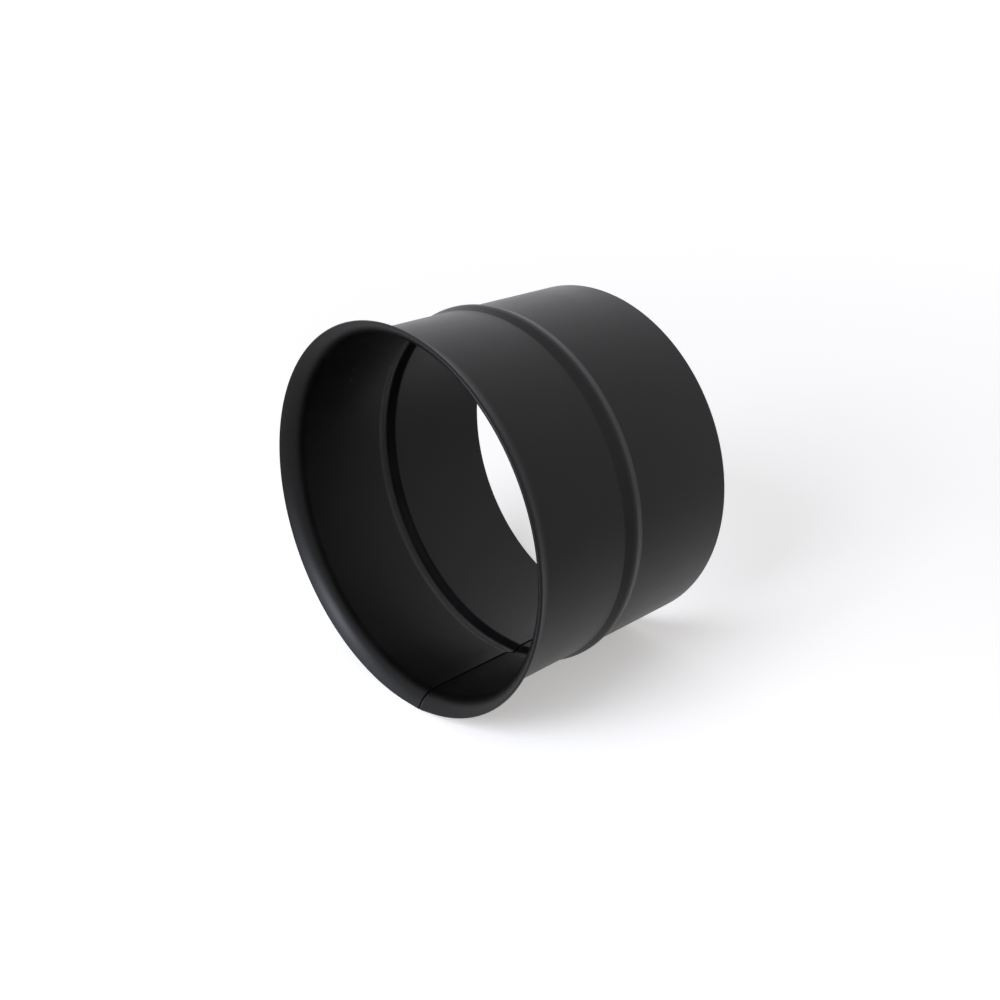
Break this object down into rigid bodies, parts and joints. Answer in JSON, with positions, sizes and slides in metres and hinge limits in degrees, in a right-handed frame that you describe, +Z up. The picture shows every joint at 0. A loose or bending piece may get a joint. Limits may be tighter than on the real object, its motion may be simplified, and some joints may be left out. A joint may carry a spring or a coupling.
{
  "type": "wall thimble",
  "caption": "Short round sheet-steel sleeve with a flared mouth and a swaged bead, set in a chimney wall to take the end of a flue pipe.",
  "frame": {"origin": "on the sleeve's axis, in the middle plane of the bead, close to half-way along its length", "axes": "+Y along the axis, from the flared mouth into the wall, level as it is built in; +Z up, with the seam near the bottom"},
  "size_m": [0.1669, 0.1138, 0.1669],
  "materials": {
    "black_paint": "matt black heat-resistant paint"
  },
  "bodies": {
    "root": {"sleeve": "black_paint"}
  },
  "joints": []
}
